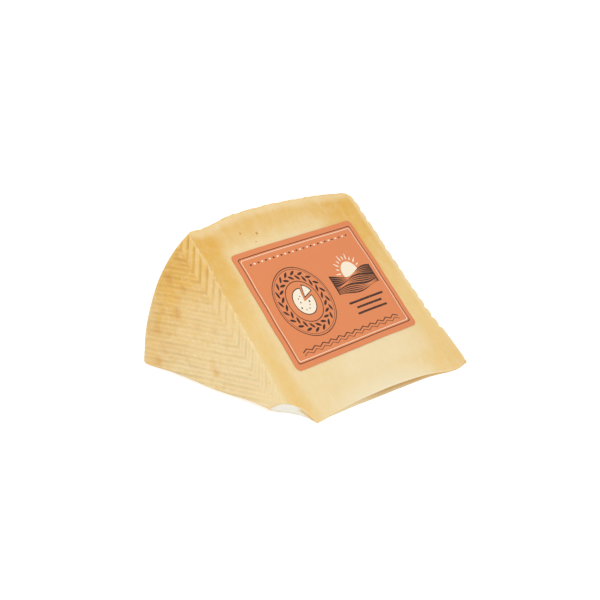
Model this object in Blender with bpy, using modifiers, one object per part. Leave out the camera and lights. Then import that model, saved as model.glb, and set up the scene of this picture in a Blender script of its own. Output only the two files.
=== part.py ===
# A wedge cut from a pressed wheel of semi-cured cheese, lying on one cut face, with a paper label on the other.
# Metres, +Z up. The wheel's axis is the wedge's nose and runs along X; the rind's curved side is at +Y.
import math
import random

import bmesh
import bpy
from mathutils import Matrix, Vector

# The wheel the wedge is cut from
rimRadius = 0.0929           # of the flat faces' rims
sideBulge = 0.0034           # the curved side stands out this far at mid height
rimRounding = 0.0045         # of the edge between a flat face and the curved side
wheelSteps = 128

# The cut, a little under an eighth
wedgeAngle = math.radians(44)

# The two flat faces are not quite parallel: from the nose to the rim each leans towards the other
leftNoseX = -0.0518
rightNoseX = 0.0550
leftLean = -0.012            # metres in X for each metre away from the nose; a minus sign leans out
rightLean = 0.066

# The nose, where the two cut faces meet: its thin lip is worn away in a shallow arc
noseWear = 0.0019
noseWearFrom = -0.045
noseWearTo = 0.044

# The lower cut is dished along the left rind, so that its edge there lifts off the table
dishRise = 0.0013
dishWidth = 0.0200

# The chip broken off the left end of the nose
chipRadii = (0.0180, 0.0202, 0.0227)
chipCentre = (-0.0578, 0.0063, -0.0140)
chipRoughness = 0.02

# The mould's grooves on the two flat faces: nested corners whose seam runs along the labelled cut
groovePitch = 0.00205
mainGrooveDepth = 0.0006     # every other groove is a main one
fineGrooveDepth = 0.0004
grooveRise = math.radians(7.5)  # the long legs rise this much towards the nose
seamInset = 0.0094           # from the labelled cut's edge to the seam
firstCorner = 0.0110         # along the seam, from the nose
grooveRimMargin = 0.0030
rodLift = 0.00015            # the rods that cut the grooves have their side edges this much off the surface

# The mould's grooves on the curved side: a plait of zigzag lines from rim to rim
plaitBands = 7
plaitPitch = 0.0050          # around the wheel
plaitSwing = 0.0060          # around the wheel, over one band
plaitDepth = 0.0005
plaitRimMargin = 0.0060

# The label
labelWidth = 0.080
labelHeight = 0.056
labelCornerRadius = 0.0022
labelThickness = 0.0003
labelGap = 0.0003
labelUpSlope = 0.0511        # from the nose to the label's middle
labelTurn = math.radians(1.6)


def clearScene():
    for thing in list(bpy.data.objects):
        bpy.data.objects.remove(thing, do_unlink=True)


def newCollection(name):
    group = bpy.data.collections.new(name)
    bpy.context.scene.collection.children.link(group)
    return group


def makeMaterial(name, colour, roughness):
    material = bpy.data.materials.new(name)
    material.use_nodes = True
    shader = material.node_tree.nodes["Principled BSDF"]
    shader.inputs["Base Color"].default_value = (*colour, 1)
    shader.inputs["Roughness"].default_value = roughness
    shader.inputs["Metallic"].default_value = 0
    material.diffuse_color = (*colour, 1)
    return material


def addMeshObject(name, mesh, group):
    thing = bpy.data.objects.new(name, mesh)
    group.objects.link(thing)
    return thing


def hideCutter(cutter):
    cutter.hide_render = True
    cutter.display_type = "WIRE"


def cutWith(thing, cutter, operation):
    step = thing.modifiers.new(cutter.name, "BOOLEAN")
    step.operation = operation
    step.object = cutter
    step.solver = "EXACT"


def softCorner(before, corner, after, steps):
    # points of a curve from before to after that is drawn towards the corner
    points = []
    for i in range(steps + 1):
        t = i / steps
        points.append(tuple((1 - t) ** 2 * a + 2 * t * (1 - t) * b + t * t * c
                            for a, b, c in zip(before, corner, after)))
    return points


def faceX(side, y, z):
    # where the left (side -1) or right (side 1) flat face lies; its lean runs along the middle of the wedge
    noseX, lean = (rightNoseX, rightLean) if side > 0 else (leftNoseX, leftLean)
    outwards = y * math.cos(wedgeAngle / 2) + z * math.sin(wedgeAngle / 2)
    return noseX - side * lean * outwards


def rimX(side):
    # where the rim is in the middle of the wedge
    return faceX(side, rimRadius * math.cos(wedgeAngle / 2), rimRadius * math.sin(wedgeAngle / 2))


def sideRadius(x):
    fromMiddle = (2 * x - rimX(-1) - rimX(1)) / (rimX(1) - rimX(-1))
    return rimRadius + sideBulge * (1 - fromMiddle ** 2)


def wheelProfile():
    # (radius, height) down the outer side, from the middle of the left face to the middle of the right one
    top = -rimX(-1)
    bottom = -rimX(1)
    edge = rimRadius - rimRounding
    spare = 0.01             # the flat faces are cut later, so the wheel is thicker than they are

    sideSteps = 12
    upper = top - rimRounding
    lower = bottom + rimRounding
    wall = [(sideRadius(-height), height)
            for height in (upper + (lower - upper) * i / sideSteps for i in range(sideSteps + 1))]
    topRim = softCorner((edge, top), (rimRadius, top), wall[0], 6)
    bottomRim = softCorner(wall[-1], (rimRadius, bottom), (edge, bottom), 6)
    return [(0, top + spare)] + topRim + wall[1:-1] + bottomRim + [(0, bottom - spare)]


def makeWheel(group):
    mesh = bpy.data.meshes.new("cheese_wedge")
    shape = bmesh.new()
    points = [shape.verts.new((radius, 0, height)) for radius, height in wheelProfile()]
    for first, second in zip(points, points[1:]):
        shape.edges.new((first, second))
    shape.to_mesh(mesh)
    shape.free()
    wheel = addMeshObject("cheese_wedge", mesh, group)
    wheel.rotation_euler = (0, -math.pi / 2, 0)     # the wheel stands on its side, its axis along X
    turn = wheel.modifiers.new("turned", "SCREW")
    turn.axis = "Z"
    turn.steps = wheelSteps
    turn.render_steps = wheelSteps
    turn.use_merge_vertices = True
    turn.merge_threshold = 0.00001
    turn.use_smooth_shade = True
    return wheel


def meshFromCurve(name, curve, group):
    # the curve's closed mesh, with the caps welded on
    drawn = bpy.data.objects.new(name + "_line", curve)
    group.objects.link(drawn)
    bpy.context.view_layer.update()
    mesh = bpy.data.meshes.new_from_object(drawn.evaluated_get(bpy.context.evaluated_depsgraph_get()))
    mesh.name = name
    bpy.data.objects.remove(drawn, do_unlink=True)
    shape = bmesh.new()
    shape.from_mesh(mesh)
    bmesh.ops.remove_doubles(shape, verts=shape.verts, dist=0.00001)
    bmesh.ops.recalc_face_normals(shape, faces=shape.faces)
    shape.to_mesh(mesh)
    shape.free()
    return addMeshObject(name, mesh, group)


def newCurve(name, rodRadius=0):
    # a flat curve, or with a radius one that is drawn as square rods
    curve = bpy.data.curves.new(name + "_line", "CURVE")
    curve.dimensions = "2D"
    curve.bevel_depth = rodRadius
    curve.bevel_resolution = 0
    curve.use_fill_caps = rodRadius > 0
    return curve


def addLine(curve, points, closed=False, radius=1):
    line = curve.splines.new("POLY")
    line.points.add(len(points) - 1)
    for point, place in zip(line.points, points):
        point.co = (*place, *(0,) * (3 - len(place)), 1)
        point.radius = radius
    line.use_cyclic_u = closed


def meshFromOutline(name, outline, thickness, group):
    # a flat outline in X and Y, with half its thickness on each side of its plane
    curve = newCurve(name)
    curve.fill_mode = "BOTH"
    curve.extrude = thickness / 2
    addLine(curve, outline, closed=True)
    return meshFromCurve(name, curve, group)


def acrossAxis():
    # turns an outline's X to +Y, its Y to +Z and its thickness to X
    return Matrix(((0, 0, 1, 0), (1, 0, 0, 0), (0, 1, 0, 0), (0, 0, 0, 1)))


def makeWedgeCutter(group):
    # a prism between the two cut faces, whose ends are the two flat faces
    reach = 2 * rimRadius
    outline = [(0, 0), (reach, 0), (reach, reach * math.tan(wedgeAngle))]
    cutter = meshFromOutline("cut_wedge", outline, 2 * rimRadius, group)
    cutter.data.transform(acrossAxis())
    for vertex in cutter.data.vertices:
        side = 1 if vertex.co.x > 0 else -1
        vertex.co.x = faceX(side, vertex.co.y, vertex.co.z)
    hideCutter(cutter)
    return cutter


def groovePath(corner):
    # one groove as seen along the axis: a long leg from the rim to the seam, then a short one up to the labelled cut
    cornerY = corner * math.cos(wedgeAngle) + seamInset * math.sin(wedgeAngle)
    cornerZ = corner * math.sin(wedgeAngle) - seamInset * math.cos(wedgeAngle)
    run, rise = math.cos(grooveRise), math.sin(grooveRise)
    # the long leg goes as far as the rim, or until it is below the wedge
    reach = rimRadius - grooveRimMargin
    along = cornerY * run - cornerZ * rise
    toRim = -along + math.sqrt(along ** 2 - cornerY ** 2 - cornerZ ** 2 + reach ** 2)
    toBase = (cornerZ + groovePitch) / rise
    length = min(toRim, toBase)
    end = (cornerY + length * run, cornerZ - length * rise)
    top = (cornerY, cornerY * math.tan(wedgeAngle) + groovePitch)
    return [end, (cornerY, cornerZ), top]


def makeGrooveCutter(name, side, group):
    # the grooves of one flat face, as square rods that lie half sunk in it
    curve = newCurve(name, 1)
    step = groovePitch / math.sin(wedgeAngle + grooveRise)
    grooves = int((rimRadius - seamInset - firstCorner) / step)
    for groove in range(grooves + 1):
        depth = fineGrooveDepth if groove % 2 else mainGrooveDepth
        addLine(curve, groovePath(firstCorner + groove * step), radius=depth + rodLift)
    cutter = meshFromCurve(name, curve, group)
    cutter.data.transform(acrossAxis())
    for vertex in cutter.data.vertices:
        vertex.co.x += faceX(side, vertex.co.y, vertex.co.z) + side * rodLift
    hideCutter(cutter)
    return cutter


def makePlaitCutter(group):
    curve = newCurve("cut_plait", plaitDepth + rodLift)
    curve.dimensions = "3D"
    fromX = rimX(-1) + plaitRimMargin
    toX = rimX(1) - plaitRimMargin
    halves = 2 * plaitBands
    lines = int(rimRadius * wedgeAngle / plaitPitch) + 2
    for line in range(-1, lines):
        points = []
        for i in range(halves + 1):
            x = fromX + (toX - fromX) * i / halves
            swing = plaitSwing * abs((i / 2) % 2 - 1)
            around = (line * plaitPitch + swing) / rimRadius
            radius = sideRadius(x) + rodLift
            points.append((x, radius * math.cos(around), radius * math.sin(around)))
        addLine(curve, points)
    cutter = meshFromCurve("cut_plait", curve, group)
    hideCutter(cutter)
    return cutter


def makeNoseCutter(group):
    # seen from above, the wear is a flat arc across the nose
    steps = 24
    middle = (noseWearFrom + noseWearTo) / 2
    half = (noseWearTo - noseWearFrom) / 2
    arc = []
    for i in range(steps + 1):
        x = noseWearFrom + (noseWearTo - noseWearFrom) * i / steps
        arc.append((x, noseWear * (1 - ((x - middle) / half) ** 2)))
    front = -0.01
    outline = [(noseWearTo, front), (noseWearFrom, front)] + arc
    cutter = meshFromOutline("cut_nose", outline[::-1], 0.02, group)
    hideCutter(cutter)
    return cutter


def makeDishCutter(group):
    # a low arch along the left edge of the lower cut, which runs out towards the middle of the wedge
    steps = 16
    below = 0.003
    under = 0.0002           # its ends and its far side stay this much under the cut
    arch = []
    for i in range(steps + 1):
        along = i / steps
        rise = (dishRise + under) * (1 - (2 * along - 1) ** 2) - under
        arch.append((0.004 + (rimRadius - 0.004) * along, rise))
    outline = [(0.004, -below), (rimRadius, -below)] + arch[::-1]
    cutter = meshFromOutline("cut_dish", outline, 2 * dishWidth, group)
    cutter.data.transform(acrossAxis())
    cutter.data.transform(Matrix.Translation((leftNoseX, 0, 0)))
    for vertex in cutter.data.vertices:
        if vertex.co.x > leftNoseX and vertex.co.z > -below / 2:
            vertex.co.z = -under
    hideCutter(cutter)
    return cutter


def makeChipCutter(group):
    mesh = bpy.data.meshes.new("cut_chip")
    shape = bmesh.new()
    bmesh.ops.create_icosphere(shape, subdivisions=3, radius=1)
    rough = random.Random(7)
    for vertex in shape.verts:
        vertex.co *= 1 + chipRoughness * (rough.random() - 0.5)
        vertex.co = Vector(a * b for a, b in zip(vertex.co, chipRadii))
    shape.to_mesh(mesh)
    shape.free()
    cutter = addMeshObject("cut_chip", mesh, group)
    cutter.location = chipCentre
    hideCutter(cutter)
    return cutter


def roundedRectangle(width, height, radius, steps=6):
    outline = []
    for quarter in range(4):
        sideX = 1 if quarter in (0, 3) else -1
        sideY = 1 if quarter in (0, 1) else -1
        for i in range(steps + 1):
            angle = math.pi / 2 * (quarter + i / steps)
            outline.append((sideX * (width / 2 - radius) + radius * math.cos(angle),
                            sideY * (height / 2 - radius) + radius * math.sin(angle)))
    return outline


def makeLabel(group, material):
    outline = roundedRectangle(labelWidth, labelHeight, labelCornerRadius)
    label = meshFromOutline("label", outline, labelThickness, group)
    lift = labelGap + labelThickness / 2
    onSlope = Matrix.Rotation(wedgeAngle, 4, "X") @ Matrix.Translation((0, labelUpSlope, lift))
    label.matrix_world = onSlope @ Matrix.Rotation(labelTurn, 4, "Z")
    label.data.materials.append(material)
    return label


def standOnOrigin(parts, carried):
    # moves everything so that the middle of the bounding box's bottom is at the origin
    bpy.context.view_layer.update()
    depsgraph = bpy.context.evaluated_depsgraph_get()
    corners = []
    for part in parts:
        seen = part.evaluated_get(depsgraph)
        mesh = seen.to_mesh()
        corners += [seen.matrix_world @ vertex.co for vertex in mesh.vertices]
        seen.to_mesh_clear()
    low = [min(corner[i] for corner in corners) for i in range(3)]
    high = [max(corner[i] for corner in corners) for i in range(3)]
    carried.location = (-(low[0] + high[0]) / 2, -(low[1] + high[1]) / 2, -low[2])


def main():
    clearScene()
    parts = newCollection("semi_cured_cheese_wedge")
    cutters = newCollection("cutters")
    cheese = makeMaterial("semi_cured_paste_and_rind", (0.84, 0.66, 0.38), 0.55)
    paper = makeMaterial("salmon_paper", (0.76, 0.28, 0.13), 0.6)

    wedge = makeWheel(parts)
    wedge.data.materials.append(cheese)
    cutWith(wedge, makeWedgeCutter(cutters), "INTERSECT")
    cutWith(wedge, makeNoseCutter(cutters), "DIFFERENCE")
    cutWith(wedge, makeDishCutter(cutters), "DIFFERENCE")
    cutWith(wedge, makeChipCutter(cutters), "DIFFERENCE")
    cutWith(wedge, makeGrooveCutter("cut_grooves_left", -1, cutters), "DIFFERENCE")
    cutWith(wedge, makeGrooveCutter("cut_grooves_right", 1, cutters), "DIFFERENCE")
    cutWith(wedge, makePlaitCutter(cutters), "DIFFERENCE")
    label = makeLabel(parts, paper)

    stand = bpy.data.objects.new("stand", None)
    parts.objects.link(stand)
    for thing in [wedge, label] + list(cutters.objects):
        thing.parent = stand
    standOnOrigin([wedge, label], stand)


main()
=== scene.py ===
import math
import random

import bmesh
import bpy
import numpy as np
from mathutils import Matrix, Vector
from mathutils.geometry import delaunay_2d_cdt


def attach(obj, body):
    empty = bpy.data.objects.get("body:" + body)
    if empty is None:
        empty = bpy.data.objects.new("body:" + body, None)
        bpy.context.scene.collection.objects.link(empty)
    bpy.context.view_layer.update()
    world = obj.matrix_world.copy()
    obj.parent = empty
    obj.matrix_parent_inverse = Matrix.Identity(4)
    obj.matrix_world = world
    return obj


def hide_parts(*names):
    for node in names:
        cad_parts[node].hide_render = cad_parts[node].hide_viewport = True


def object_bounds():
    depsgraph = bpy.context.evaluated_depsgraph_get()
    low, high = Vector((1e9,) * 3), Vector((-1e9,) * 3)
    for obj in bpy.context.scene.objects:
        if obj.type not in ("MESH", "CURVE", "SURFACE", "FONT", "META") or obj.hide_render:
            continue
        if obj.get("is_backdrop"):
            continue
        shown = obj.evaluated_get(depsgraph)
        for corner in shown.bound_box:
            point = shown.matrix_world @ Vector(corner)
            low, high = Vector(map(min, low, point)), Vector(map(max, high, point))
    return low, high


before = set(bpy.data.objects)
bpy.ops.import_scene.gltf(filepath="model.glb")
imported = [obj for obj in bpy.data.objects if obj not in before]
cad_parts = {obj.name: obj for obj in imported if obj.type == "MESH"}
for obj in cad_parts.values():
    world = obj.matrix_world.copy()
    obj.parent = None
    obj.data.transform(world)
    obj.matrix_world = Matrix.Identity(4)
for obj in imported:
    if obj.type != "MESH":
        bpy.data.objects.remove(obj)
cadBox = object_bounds()
print("frame loaded")

mm = 0.001

# the wheel and the cut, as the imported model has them: the nose runs along X at Y = Z = 0
wedge = {
    "rimRadius": 92.9 * mm,
    "sideBulge": 3.4 * mm,
    "angle": math.radians(44),
    "noseX": {-1: -51.8 * mm, 1: 55.0 * mm},
    "lean": {-1: -0.012, 1: 0.066},
    "rimRounding": {-1: (6.0 * mm, 1.8 * mm), 1: (4.5 * mm, 4.5 * mm)},  # at the table, at the label
    "noseAt": (-1.06644 * mm, -48.15 * mm, 0),
    "flare": 2.5 * mm,  # how far the right end of the nose swells
    "flareReach": 36 * mm,
    "flareFrom": 24 * mm,
    "liftHeight": 8 * mm,  # how high up the left face the lift of its lower edge fades out
    "liftWidth": 7 * mm,
    "cutRounding": 0.75,  # of a rim's rounding, how much shorter a cut is at its ends
    "furthest": 98 * mm,  # more than the side's distance from the nose
    "longest": 110 * mm,  # more than any rib's length
    "highest": 30 * mm,  # more than any rib's upright end
}
rimRadius = wedge["rimRadius"]
leftX, rightX = wedge["noseX"][-1], wedge["noseX"][1]
noseAt = np.array(wedge["noseAt"])
cosAngle = math.cos(wedge["angle"])
sinAngle = math.sin(wedge["angle"])
cosHalf = math.cos(wedge["angle"] / 2)
sinHalf = math.sin(wedge["angle"] / 2)
cutWay = {"low": (1, 0), "high": (cosAngle, sinAngle)}  # away from the nose, as (y, z), on the cuts

# where the lower edge of the left face lifts off the table: distance from the nose, half width, rise
lifts = [(28 * mm, 28 * mm, 2.2 * mm), (66 * mm, 28 * mm, 1.25 * mm)]

# the worn lip of the nose: a shallow arc, and a blunt right end
nose = {
    "wear": 1.9 * mm,
    "wearFrom": -45 * mm,
    "wearTo": 44 * mm,
    "endWear": 1.5 * mm,
    "endFrom": 45 * mm,
    "endReach": 10 * mm,
    "thinnest": 0.25 * mm,
    "foot": 0.95 * mm,  # where the lip stands on the table, at x = 0
    "footSlant": -0.012,
    "footRise": 0.2,
    "hollow": 1.3,  # how the lip curves from the table up to the labelled cut
    "rows": 6,
    "lipShading": (0.40, 1.0),  # painted shade of the lip over its browner rind, at the table and at the labelled cut
    "crestHighlight": 0.7 * mm,  # how far the painted highlight above the lip reaches
}

# how far the labelled cut's smooth, golden edge wraps round onto the left face, in mm, and where between
# the nose and the side it narrows, as shares of the rim's radius
wrap = {"nose": 2.3, "side": 0.4, "from": 0.2, "reach": 0.6}

# how closely the surface is meshed
grain = {
    "side": 0.50 * mm,
    "edge": 0.42 * mm,
    "ribRow": 0.365 * mm,
    "ribStep": 0.95 * mm,
    "clear": 0.22 * mm,  # between a face's own points and its edges
    "first": 0.42 * mm,  # between a cut's first row and the nose
    "rowShare": 0.87,  # of the points' distance, between a cut's rows
    "straighten": 20 * mm,  # over which the rows lose the nose's curve
    # on a cut, in mm: nearest to the edge, furthest from it, distance between points
    "cut": ((0.35, 1.3, None), (1.3, 3.2, 0.9), (3.2, 200, 1.30)),
    "rimSteps": 14,
    "rimShare": 0.95,  # of the rim, over which the flat face's ribs fade out
}

# small holes in the paste, as (x, distance from the nose, radius, depth) in mm: those that show beside
# the label, and how many more the lower cut has
eyes = {
    "seen": [(-18.1, 84.8, 0.75, 0.50), (-27.2, 86.7, 0.60, 0.25), (-21.4, 81.2, 0.45, 0.18)],
    "hidden": 18,
    "seed": 11,
    "size": (0.4, 1.3),
    "across": (-42, 42),
    "out": (8, 84),
    "depthShare": 0.7,  # of the radius
    "rings": (0.4, 0.75, 1.1, 1.6),
    "apart": 0.2,  # of the radius, between the outermost ring and the grid
    "steps": 10,
}

# the nested ribs on the two flat faces
ribs = {
    "pitch": 2.05 * mm,
    "cornerSoft": 0.9 * mm,
    "rise": math.radians(7.5),
    "seamInset": 9.4 * mm,
    "firstCorner": 11.0 * mm,
    "mainDepth": 0.50 * mm,
    "fineDepth": 0.33 * mm,
    "wobble": 0.45 * mm,
    "sharpness": 3.0,
    "scallop": 1.1,  # how much deeper the right face's ribs are at the labelled cut
    "scallopReach": 6 * mm,
    "scallopGain": 1.5,  # how much more that is at the nose
    "scallopFade": (14 * mm, 30 * mm),
    "atNose": 0.4,  # of their depth that the left face's ribs have at the nose
    "noseFade": (10 * mm, 24 * mm),
    "rimBite": 0.5,  # how much deeper the left face's ribs are at the rim
    "rimFade": (84 * mm, 7 * mm),
    "fadeIn": 1.6 * mm,  # over which the left face's ribs begin beside the labelled cut
    "margin": 4 * mm,  # how far the ribs' lines start before the nose and end past the rim
    "proud": {-1: 0.15 * mm, 0: 0.60 * mm, 1: 0.75 * mm},  # the ridges, past the model's faces and side
    "proudReach": 14 * mm,  # how far from the nose they stand fully proud
    "inputs": ("pitch", "rise", "seamInset", "firstCorner", "mainDepth", "fineDepth", "wobble"),
}

# the plait on the curved side
plait = {
    "pitch": 5.0 * mm,
    "swing": 6.0 * mm,
    "bands": 7,
    "mainDepth": 0.50 * mm,
    "fineDepth": 0.22 * mm,
    "sharpness": 7.0,
    "rimMargin": 6.0 * mm,
    "fadeIn": 2.5 * mm,
    "inputs": ("pitch", "swing", "mainDepth", "fineDepth"),
}


def faceX(side, y, z):
    return wedge["noseX"][side] - side * wedge["lean"][side] * (y * cosHalf + z * sinHalf)


def rimX(side):
    return faceX(side, rimRadius * cosHalf, rimRadius * sinHalf)


def rimRounding(side, turn):
    atTable, atLabel = wedge["rimRounding"][side]
    return atTable + (atLabel - atTable) * turn / wedge["angle"]


def sideRadius(x):
    fromMiddle = (2 * x - rimX(-1) - rimX(1)) / (rimX(1) - rimX(-1))
    return rimRadius + wedge["sideBulge"] * (1 - fromMiddle ** 2)


def noseY(x):
    middle = (nose["wearFrom"] + nose["wearTo"]) / 2
    half = (nose["wearTo"] - nose["wearFrom"]) / 2
    arc = nose["wear"] * (1 - ((x - middle) / half) ** 2)
    atEnd = nose["endWear"] * np.clip((x - nose["endFrom"]) / nose["endReach"], 0, 1) ** 1.5
    return np.maximum(np.maximum(arc, atEnd), nose["thinnest"])


def footY(x):
    slanted = nose["foot"] + nose["footSlant"] * x
    return np.maximum(np.minimum(slanted, (x - nose["wearFrom"]) * nose["footRise"]), nose["thinnest"])


def ease(value, start=0, reach=1):
    # 0 up to the start and 1 from one reach past it, with a smooth step between them
    value = np.clip((value - start) / reach, 0, 1)
    return value * value * (3 - 2 * value)


def polar(radius, turn, centre=(0, 0)):
    return centre[0] + radius * math.cos(turn), centre[1] + radius * math.sin(turn)


# the cheese's skin: points and triangles, patch by patch, with shared edges
skin = {"points": [], "triangles": [], "moulded": {}}


def addPoints(points):
    first = len(skin["points"])
    skin["points"].extend(tuple(float(c) for c in point) for point in points)
    return list(range(first, len(skin["points"])))


def addGrid(rows):
    for low, high in zip(rows, rows[1:]):
        for a, b, c, d in zip(low, low[1:], high[1:], high):
            skin["triangles"] += [(a, b, c), (a, c, d)]


def fillOutline(outline, flatten, inner, unflatten):
    # joins a closed outline and the loose points inside it with triangles
    corners = [Vector(flatten(skin["points"][i])) for i in outline]
    inside = addPoints([unflatten(*point) for point in inner])
    corners += [Vector(point) for point in inner]
    numbers = list(outline) + inside
    made = delaunay_2d_cdt(corners, [], [list(range(len(outline)))], 1, 1e-9)
    source = [numbers[first[0]] for first in made[3]]
    skin["triangles"] += [tuple(source[i] for i in face) for face in made[2]]
    return inside


def ribWear(side, y, z):
    # the ribs of the left face fade towards the nose and the labelled cut; the right one's reach the cut
    toCut = y * sinAngle - z * cosAngle
    back = math.hypot(y, z)
    if side > 0:
        scallop = ribs["scallop"] * (1 + ribs["scallopGain"] * (1 - ease(back, *ribs["scallopFade"])))
        return 1 + scallop * (1 - ease(toCut, 0, ribs["scallopReach"]))
    towardsSide = ease(back / rimRadius, wrap["from"], wrap["reach"])
    margin = wrap["nose"] + (wrap["side"] - wrap["nose"]) * towardsSide
    wear = ribs["atNose"] + (1 - ribs["atNose"]) * ease(back, *ribs["noseFade"])
    wear += ribs["rimBite"] * ease(back, *ribs["rimFade"])
    return ease(toCut, margin * mm, ribs["fadeIn"]) * wear


def mark(indices, outwards, side, flatWeight=0, plaitWeight=0, around=0):
    # how the relief is to treat these points: which way is out, how far, and how much of which pattern
    for i in indices:
        y, z = skin["points"][i][1:]
        proud = ribs["proud"][0] * (1 - flatWeight) + ribs["proud"][side] * flatWeight
        proud *= ease(math.hypot(y, z), 0, ribs["proudReach"])
        skin["moulded"][i] = (*outwards, proud, flatWeight * ribWear(side, y, z), plaitWeight, around)


def softCorner(before, corner, after, steps):
    for i in range(steps + 1):
        t = i / steps
        yield tuple((1 - t) ** 2 * a + 2 * t * (1 - t) * b + t * t * c
                    for a, b, c in zip(before, corner, after))


def sideColumns(turn):
    # (x, radius) from the left flat face over the rim, along the curved side and over the right rim
    inset = {side: rimX(side) - side * rimRounding(side, turn) for side in (-1, 1)}
    count = round((rimX(1) - rimX(-1) - 10 * mm) / grain["side"])
    along = [inset[-1] + (inset[1] - inset[-1]) * i / count for i in range(count + 1)]
    rims = {}
    for side in (-1, 1):
        low = rimRadius - rimRounding(side, turn)
        face = [faceX(side, *polar(r, turn)) for r in (low, rimRadius)]
        rims[side] = list(softCorner((face[0], low), (face[1], rimRadius),
                                     (inset[side], sideRadius(inset[side])), grain["rimSteps"]))
    return rims[-1] + [(x, sideRadius(x)) for x in along[1:-1]] + rims[1][::-1]


def lerpLine(start, end, step):
    count = max(2, round((Vector(end) - Vector(start)).length / step))
    return [tuple(a + (b - a) * i / count for a, b in zip(start, end)) for i in range(1, count)]


def buildSide():
    # the curved side with both rims, as rows of points from the table up to the labelled cut
    turns = round(rimRadius * wedge["angle"] / grain["side"])
    side = []
    for i in range(turns + 1):
        turn = wedge["angle"] * i / turns
        columns = sideColumns(turn)
        side.append(addPoints([(x, *polar(r, turn)) for x, r in columns]))
        last = len(columns) - 1
        for c, (index, (x, _)) in enumerate(zip(side[-1], columns)):
            before = columns[max(c - 1, 0)]
            after = columns[min(c + 1, last)]
            away = Vector((before[1] - after[1], after[0] - before[0])).normalized()
            flatWeight = 1 - ease(min(c, last - c) / grain["rimSteps"] / grain["rimShare"])
            toRim = min(x - rimX(-1), rimX(1) - x)
            plaitWeight = ease((toRim - plait["rimMargin"]) / plait["fadeIn"] + 0.5)
            mark([index], (away[0], *polar(away[1], turn)), -1 if c < last / 2 else 1,
                 flatWeight, plaitWeight, rimRadius * turn)
    addGrid(side)
    return side


def noseColumns():
    return round((rightX - leftX) / grain["edge"])


def buildNose():
    # the nose's strip, as rows of points from the lower cut up to the labelled one
    count = noseColumns()
    strip = []
    for row in range(nose["rows"] + 1):
        up = row / nose["rows"]
        points = []
        for i in range(count + 1):
            x = leftX + (rightX - leftX) * i / count
            top, foot = float(noseY(x)), float(footY(x))
            points.append((x, foot + (top - foot) * up ** nose["hollow"], top * sinAngle / cosAngle * up))
        strip.append(addPoints(points))
    addGrid(strip)
    return strip


def buildSkin():
    side = buildSide()
    strip = buildNose()
    ends = {-1: 0, 1: -1}
    levels = {"low": 0, "high": -1}
    # the four edges between the cuts and the flat faces
    edges = {}
    for s, end in ends.items():
        for level, row in levels.items():
            a, b = strip[row][end], side[row][end]
            between = addPoints(lerpLine(skin["points"][a], skin["points"][b], grain["edge"]))
            edges[s, level] = [a] + between + [b]

    for s, end in ends.items():
        columns = [row[end] for row in side]
        front = [row[end] for row in strip]
        outline = edges[s, "low"] + columns[1:] + edges[s, "high"][::-1][1:] + front[::-1][1:-1]
        inside = fillOutline(outline, lambda p: p[1:], ribPoints(s), lambda y, z: (faceX(s, y, z), y, z))
        out = Vector((s, wedge["lean"][s] * cosHalf, wedge["lean"][s] * sinHalf))
        mark(inside + outline, out.normalized(), s, flatWeight=1)

    zones = {"strip": strip, "scalloped": edges[1, "high"]}
    for level, row in levels.items():
        c, s = cutWay[level]
        outline = strip[row] + edges[1, level][1:] + side[row][::-1][1:] + edges[-1, level][::-1][1:-1]
        zones[level] = set(fillOutline(outline, lambda p: (p[0], p[1] * c + p[2] * s), cutPoints(level),
                                       lambda x, v: (x, v * c, v * s)))
    sharp = strip[0] + strip[-1] + side[0] + side[-1]
    sharp += [row[end] for row in strip for end in ends.values()]
    zones["sharp"] = set(sharp).union(*edges.values())
    return zones


def ribPoints(side):
    # points along the ribs' lines, so that the triangles follow them
    clear, step = grain["clear"], grain["ribStep"]
    points = []
    row = 0
    u = -ribs["margin"]
    while u < rimRadius + ribs["margin"]:
        corner = (u * cosAngle + ribs["seamInset"] * sinAngle, u * sinAngle - ribs["seamInset"] * cosAngle)
        start = step * (0.5 if row % 2 else 0)
        points += [polar(along, -ribs["rise"], corner) for along in np.arange(start, wedge["longest"], step)]
        points += [(corner[0], corner[1] + up) for up in np.arange(step - start, wedge["highest"], step)]
        u += grain["ribRow"]
        row += 1
    kept = []
    for y, z in points:
        rim = rimRadius - rimRounding(side, math.atan2(z, y))
        inCut = y * sinAngle - z * cosAngle
        if z > clear and inCut > clear and math.hypot(y, z) < rim - clear and y > nose["thinnest"] + clear:
            kept.append((y, z))
    return kept


def eyesOn(level):
    if level == "high":
        return [tuple(value * mm for value in eye) for eye in eyes["seen"]]
    rough = random.Random(eyes["seed"])
    made = []
    for _ in range(eyes["hidden"]):
        size, across, out = (rough.uniform(*eyes[name]) * mm for name in ("size", "across", "out"))
        made.append((across, out, size, size * eyes["depthShare"]))
    return made


def cutPoints(level):
    # a grid over a cut that is finer towards its edges, with rings of points about the eyes
    c, s = cutWay[level]
    holes = eyesOn(level)
    edgeStep = (rightX - leftX) / noseColumns()
    points = []
    for nearest, furthest, wanted in grain["cut"]:
        step = wanted * mm if wanted else edgeStep
        for row, out in enumerate(np.arange(grain["first"], wedge["furthest"], step * grain["rowShare"])):
            x = np.arange(leftX + (0 if row % 2 else step / 2), rightX, step)
            start = noseY(x) / c if level == "high" else footY(x)
            v = out + start * np.clip(1 - out / grain["straighten"], 0, 1)
            y, z = v * c, v * s
            room = [x - faceX(-1, y, z), faceX(1, y, z) - x, cutEnd(x, level) - v, v - start]
            room = np.minimum.reduce(room)
            keep = (room >= nearest * mm) & (room < furthest * mm)
            for eyeX, eyeV, radius, _ in holes:
                keep &= np.hypot(x - eyeX, v - eyeV) > radius * (eyes["rings"][-1] + eyes["apart"])
            points += list(zip(x[keep].tolist(), v[keep].tolist()))
    for eyeX, eyeV, radius, _ in holes:
        points.append((eyeX, eyeV))
        for ring in eyes["rings"]:
            points += [polar(radius * ring, 2 * math.pi * (i + ring) / eyes["steps"], (eyeX, eyeV))
                       for i in range(eyes["steps"])]
    return points


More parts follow.
